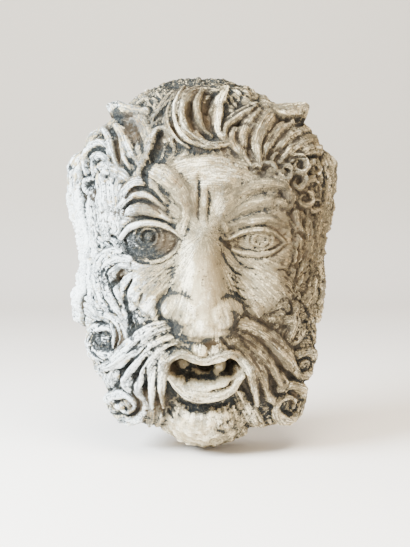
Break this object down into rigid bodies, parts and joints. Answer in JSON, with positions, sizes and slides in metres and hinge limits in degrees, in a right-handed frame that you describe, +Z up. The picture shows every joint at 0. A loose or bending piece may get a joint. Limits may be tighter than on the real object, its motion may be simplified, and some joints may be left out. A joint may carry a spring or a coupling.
{
  "type": "fountain mask",
  "caption": "Wall fountain mask: the bearded head of a horned, goat-eared satyr in weathered cast stone, with an open mouth for the water pipe and a flat back.",
  "frame": {"origin": "middle of the flat back, which lies against the wall", "axes": "+X to the viewer's right, +Y into the wall, +Z up; the face looks along -Y"},
  "size_m": [0.2969, 0.1699, 0.407],
  "materials": {
    "cast_stone": "matt cast stone with worn whitish limewash, dark dirt in the hollows and small pits"
  },
  "bodies": {
    "root": {"mask": "cast_stone"}
  },
  "joints": []
}
